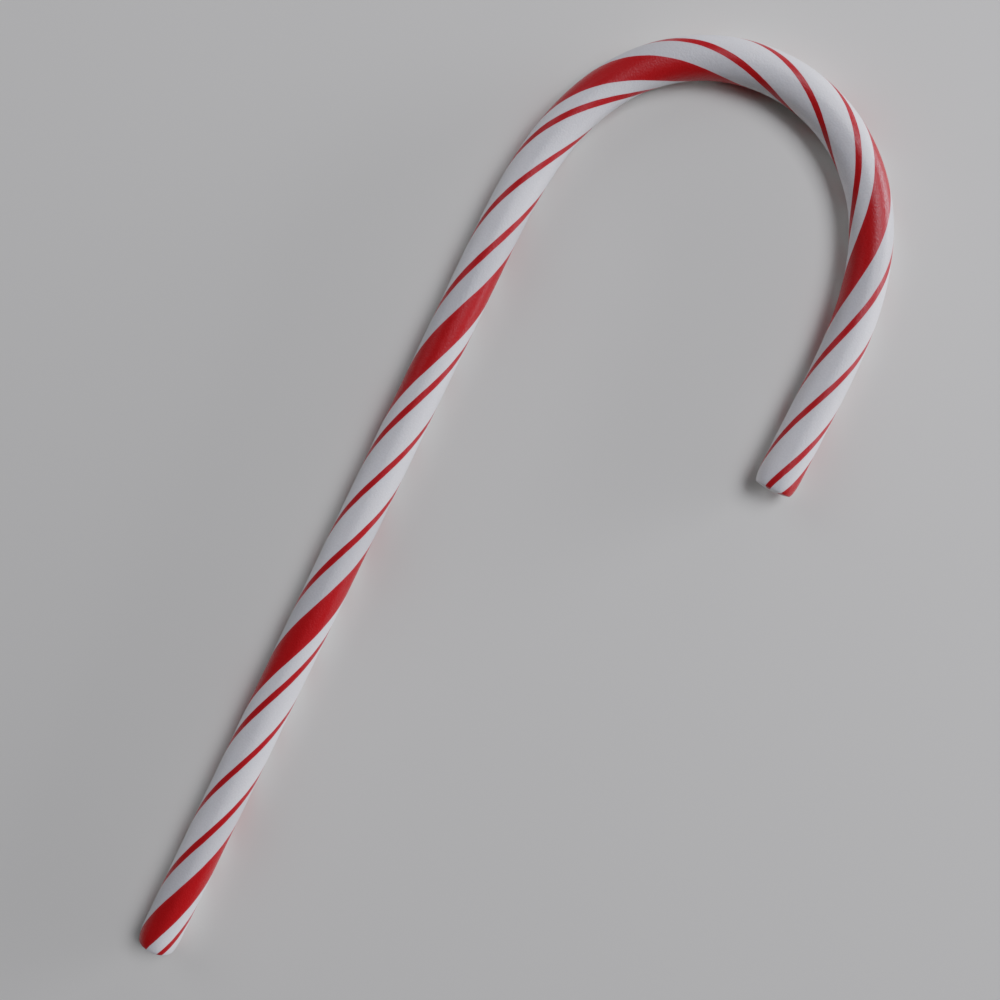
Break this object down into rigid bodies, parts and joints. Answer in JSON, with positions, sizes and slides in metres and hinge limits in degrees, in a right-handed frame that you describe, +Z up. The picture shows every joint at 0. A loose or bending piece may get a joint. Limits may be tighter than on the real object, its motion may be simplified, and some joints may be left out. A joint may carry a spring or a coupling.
{
  "type": "candy cane",
  "caption": "Hard pulled-sugar stick with a hooked top, white with red spiral stripes, lying on its side.",
  "frame": {"origin": "on the surface that the cane lies on, at the middle of its outline seen from above", "axes": "+Y along the straight shaft from its foot to the hook, +X from the shaft towards the hook's tip, +Z up from the surface that it lies on"},
  "size_m": [0.0604, 0.165, 0.0063],
  "materials": {
    "pulled_sugar": "smooth boiled sugar, satin to glossy, white with red spiral stripes"
  },
  "bodies": {
    "root": {"cane": "pulled_sugar"}
  },
  "joints": []
}
